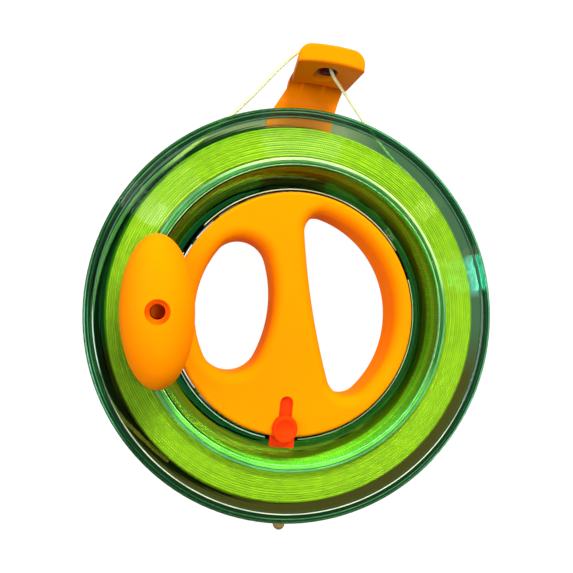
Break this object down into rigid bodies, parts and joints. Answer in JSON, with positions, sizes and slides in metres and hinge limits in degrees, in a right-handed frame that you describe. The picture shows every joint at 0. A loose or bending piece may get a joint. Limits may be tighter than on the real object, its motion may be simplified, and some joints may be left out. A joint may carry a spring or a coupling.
{
  "type": "kite reel",
  "caption": "Hand-held winding wheel on ball bearings round a handle disc with finger holes, with a crank knob, slide lock and line-guide arm.",
  "frame": {"origin": "on the wheel's axis, in the flat back face of the guide arm, which the reel lies on", "axes": "+Z along the wheel's axis, out of the front where the knob and the lock are; +Y towards the line guide; +X to the right seen from the front"},
  "size_m": [0.22, 0.2609, 0.0867],
  "materials": {
    "orange_plastic": "moulded, satin",
    "clear_green": "clear tinted, polished",
    "red_plastic": "moulded, gloss",
    "grey_nylon": "moulded, matt",
    "steel": "zinc plated",
    "ball_steel": "polished",
    "brass": "turned",
    "eyelet": "dark red enamel",
    "lime_line": "braided and wound",
    "pale_line": "braided"
  },
  "bodies": {
    "handle": {"handle_front_shell": "orange_plastic", "handle_back_shell": "orange_plastic", "handle_screws": "steel", "guide_arm": "orange_plastic", "guide_arm_screws": "steel", "eyelet_ring": "eyelet", "lock_keeper": "grey_nylon", "lock_keeper_screws": "steel", "lock_detent_spring": "steel", "free_line": "pale_line"},
    "ball_ring": {"ball_cage": "grey_nylon", "bearing_balls": "ball_steel"},
    "wheel": {"wheel_front_half": "clear_green", "wheel_back_half": "clear_green", "catch_stud": "brass", "knob_axle_screw": "steel", "knob_washer": "grey_nylon", "knob_insert": "brass", "line_core": "lime_line", "line_outer_layer": "lime_line"},
    "knob": {"knob": "orange_plastic"},
    "lock": {"lock_slider": "red_plastic", "lock_button": "red_plastic"}
  },
  "joints": [
    {"name": "wheel_spin", "type": "hinge", "parent": "handle", "child": "wheel", "pos_m": [0, 0, 0.0305], "axis": [0, 0, 1], "continuous": true},
    {"name": "ball_orbit", "type": "hinge", "parent": "handle", "child": "ball_ring", "pos_m": [0, 0, 0.0305], "axis": [0, 0, 1], "continuous": true},
    {"name": "knob_spin", "type": "hinge", "parent": "wheel", "child": "knob", "pos_m": [-0.07294, -0.00613, 0.06], "axis": [0, 0, 1], "continuous": true},
    {"name": "lock_slide", "type": "slide", "parent": "handle", "child": "lock", "axis": [0, 1, 0], "range_m": [0, 0.008]}
  ],
  "couplings": [
    {"joint": "ball_orbit", "follows": "wheel_spin", "ratio": 0.523}
  ]
}
